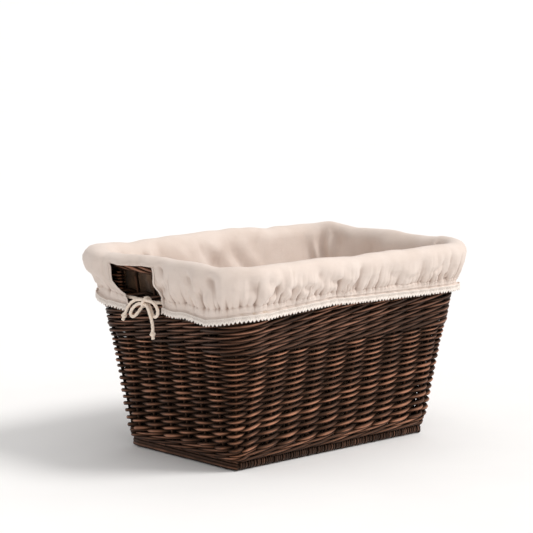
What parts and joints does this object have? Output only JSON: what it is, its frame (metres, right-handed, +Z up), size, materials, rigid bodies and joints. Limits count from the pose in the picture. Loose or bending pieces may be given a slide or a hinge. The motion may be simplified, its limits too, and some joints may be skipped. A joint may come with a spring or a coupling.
{
  "type": "bread basket",
  "caption": "Rectangular tapered wicker basket with hand holes at both ends and a removable cotton liner tied on with drawcord bows, for holding bread.",
  "frame": {"origin": "centre of the underside, on the surface the basket stands on", "axes": "+X along the long side towards one hand hole, +Y along the short side, +Z up"},
  "size_m": [0.5224, 0.3604, 0.301],
  "materials": {
    "willow": "dark stained willow, satin",
    "cotton": "plain unbleached cotton, matte",
    "lace": "cotton lace, matte",
    "cord": "twisted cotton cord, matte"
  },
  "bodies": {
    "root": {"base_weave": "willow", "base_sticks": "willow", "base_side_rods": "willow", "base_end_rods": "willow", "front_stakes": "willow", "back_stakes": "willow", "left_end_stakes": "willow", "right_end_stakes": "willow", "corner_stakes": "willow", "bottom_wale": "willow", "siding": "willow", "upper_wale": "willow", "rim_band_front": "willow", "rim_band_back": "willow", "border": "willow", "liner_bottom": "cotton", "liner_wall": "cotton", "skirt_front": "cotton", "skirt_back": "cotton", "lace_front": "lace", "lace_back": "lace", "drawcord_front": "cord", "drawcord_back": "cord", "left_bow_cord_back": "cord", "left_bow_cord_front": "cord", "right_bow_cord_back": "cord", "right_bow_cord_front": "cord", "left_bow_knot": "cord", "right_bow_knot": "cord", "left_tail_knots": "cord", "right_tail_knots": "cord"}
  },
  "joints": []
}
